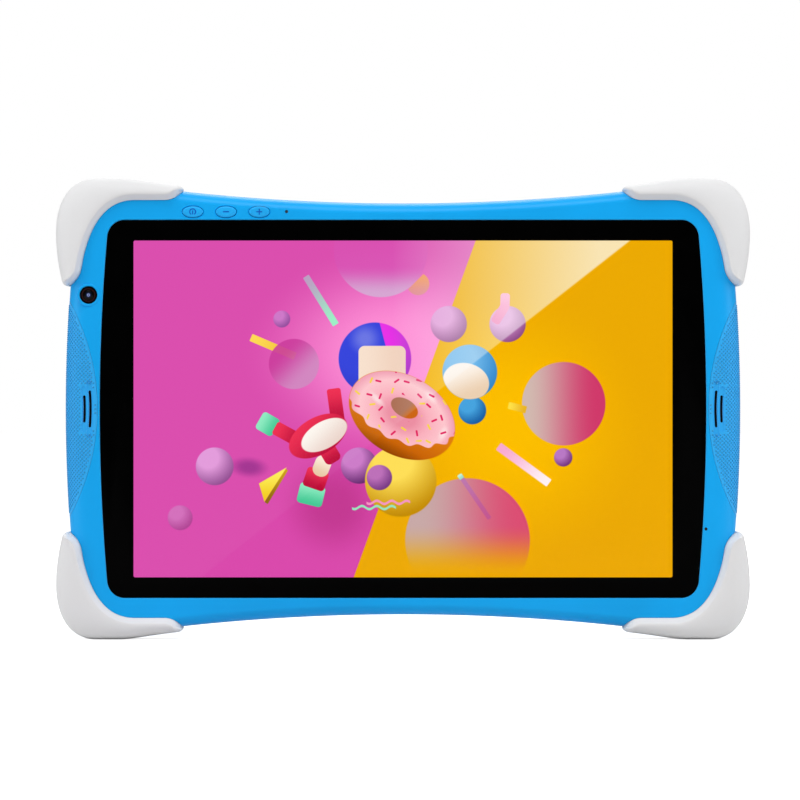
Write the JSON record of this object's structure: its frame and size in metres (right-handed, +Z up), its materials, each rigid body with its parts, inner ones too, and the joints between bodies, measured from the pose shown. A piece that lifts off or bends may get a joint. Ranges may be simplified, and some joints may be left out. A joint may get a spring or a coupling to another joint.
{
  "type": "kids tablet",
  "caption": "Wide children's tablet in a blue shell with hollowed long edges, soft white corner bumpers, dotted side grips, oval front keys and a bright cartoon-style display.",
  "frame": {"origin": "on the ground under the centre of the tablet, which stands upright on its two lower bumpers", "axes": "+Z up along the short side of the display, +X along the long side towards the viewer's right, -Y out of the display towards the viewer, +Y out of the back"},
  "size_m": [0.2798, 0.022, 0.1858],
  "materials": {
    "blue_shell": "satin moulded plastic, sky blue",
    "blue_key": "satin moulded plastic, sky blue",
    "blue_grip": "soft-touch, covered in fine raised dots",
    "white_bumper": "matt silicone, white",
    "cover_glass": "polished, with a black printed border",
    "black_adhesive": "matt film",
    "display": "lit picture in pink and yellow under a polariser",
    "tray_silver": "satin sheet",
    "board_green": "solder mask, satin",
    "tin_plate": "tinned, satin",
    "battery_foil": "laminated foil, satin",
    "black_plastic": "fine moulded texture",
    "black_mesh": "woven dust mesh",
    "black_rubber": "matt",
    "clear_plastic": "clear, polished",
    "lens_glass": "polished, black behind",
    "amber_film": "polyimide film, satin",
    "wire_cover": "insulated wire, satin",
    "screw_steel": "plated, satin"
  },
  "bodies": {
    "case": {"front_frame": "blue_shell", "rear_cover": "blue_shell", "bumper_top_left": "white_bumper", "bumper_top_right": "white_bumper", "bumper_bottom_left": "white_bumper", "bumper_bottom_right": "white_bumper", "side_grip_left": "blue_grip", "side_grip_right": "blue_grip", "cover_glass": "cover_glass", "glass_adhesive": "black_adhesive", "display_cell": "display", "backlight_tray": "tray_silver", "mid_plate": "tray_silver", "main_board": "board_green", "processor_shield": "tin_plate", "battery": "battery_foil", "usb_c_socket": "tin_plate", "headphone_socket": "black_plastic", "card_socket": "tin_plate", "speaker_left": "black_plastic", "speaker_right": "black_plastic", "speaker_mesh_left": "black_mesh", "speaker_mesh_right": "black_mesh", "power_switch": "tin_plate", "volume_down_switch": "tin_plate", "volume_up_switch": "tin_plate", "button_board": "board_green", "microphone": "tin_plate", "microphone_boot": "black_rubber", "indicator_light_pipe": "clear_plastic", "front_camera_window": "lens_glass", "front_camera_module": "black_plastic", "rear_camera_window": "lens_glass", "rear_camera_module": "black_plastic", "wifi_antenna": "amber_film", "display_flex": "amber_film", "button_flex": "amber_film", "front_camera_flex": "amber_film", "battery_lead": "wire_cover", "speaker_lead_left": "wire_cover", "speaker_lead_right": "wire_cover", "case_screw_1": "screw_steel", "case_screw_2": "screw_steel", "case_screw_3": "screw_steel", "case_screw_4": "screw_steel", "case_screw_5": "screw_steel", "case_screw_6": "screw_steel", "case_screw_7": "screw_steel", "case_screw_8": "screw_steel", "board_screw_1": "screw_steel", "board_screw_2": "screw_steel", "board_screw_3": "screw_steel", "board_screw_4": "screw_steel"},
    "power_key": {"power_button": "blue_key", "power_plunger": "black_plastic"},
    "volume_down_key": {"volume_down_button": "blue_key", "volume_down_plunger": "black_plastic"},
    "volume_up_key": {"volume_up_button": "blue_key", "volume_up_plunger": "black_plastic"}
  },
  "joints": [
    {"name": "power_press", "type": "slide", "parent": "case", "child": "power_key", "axis": [0, 1, 0], "range_m": [0, 0.0005], "stiffness_N_per_m": 1500},
    {"name": "volume_down_press", "type": "slide", "parent": "case", "child": "volume_down_key", "axis": [0, 1, 0], "range_m": [0, 0.0005], "stiffness_N_per_m": 1500},
    {"name": "volume_up_press", "type": "slide", "parent": "case", "child": "volume_up_key", "axis": [0, 1, 0], "range_m": [0, 0.0005], "stiffness_N_per_m": 1500}
  ]
}
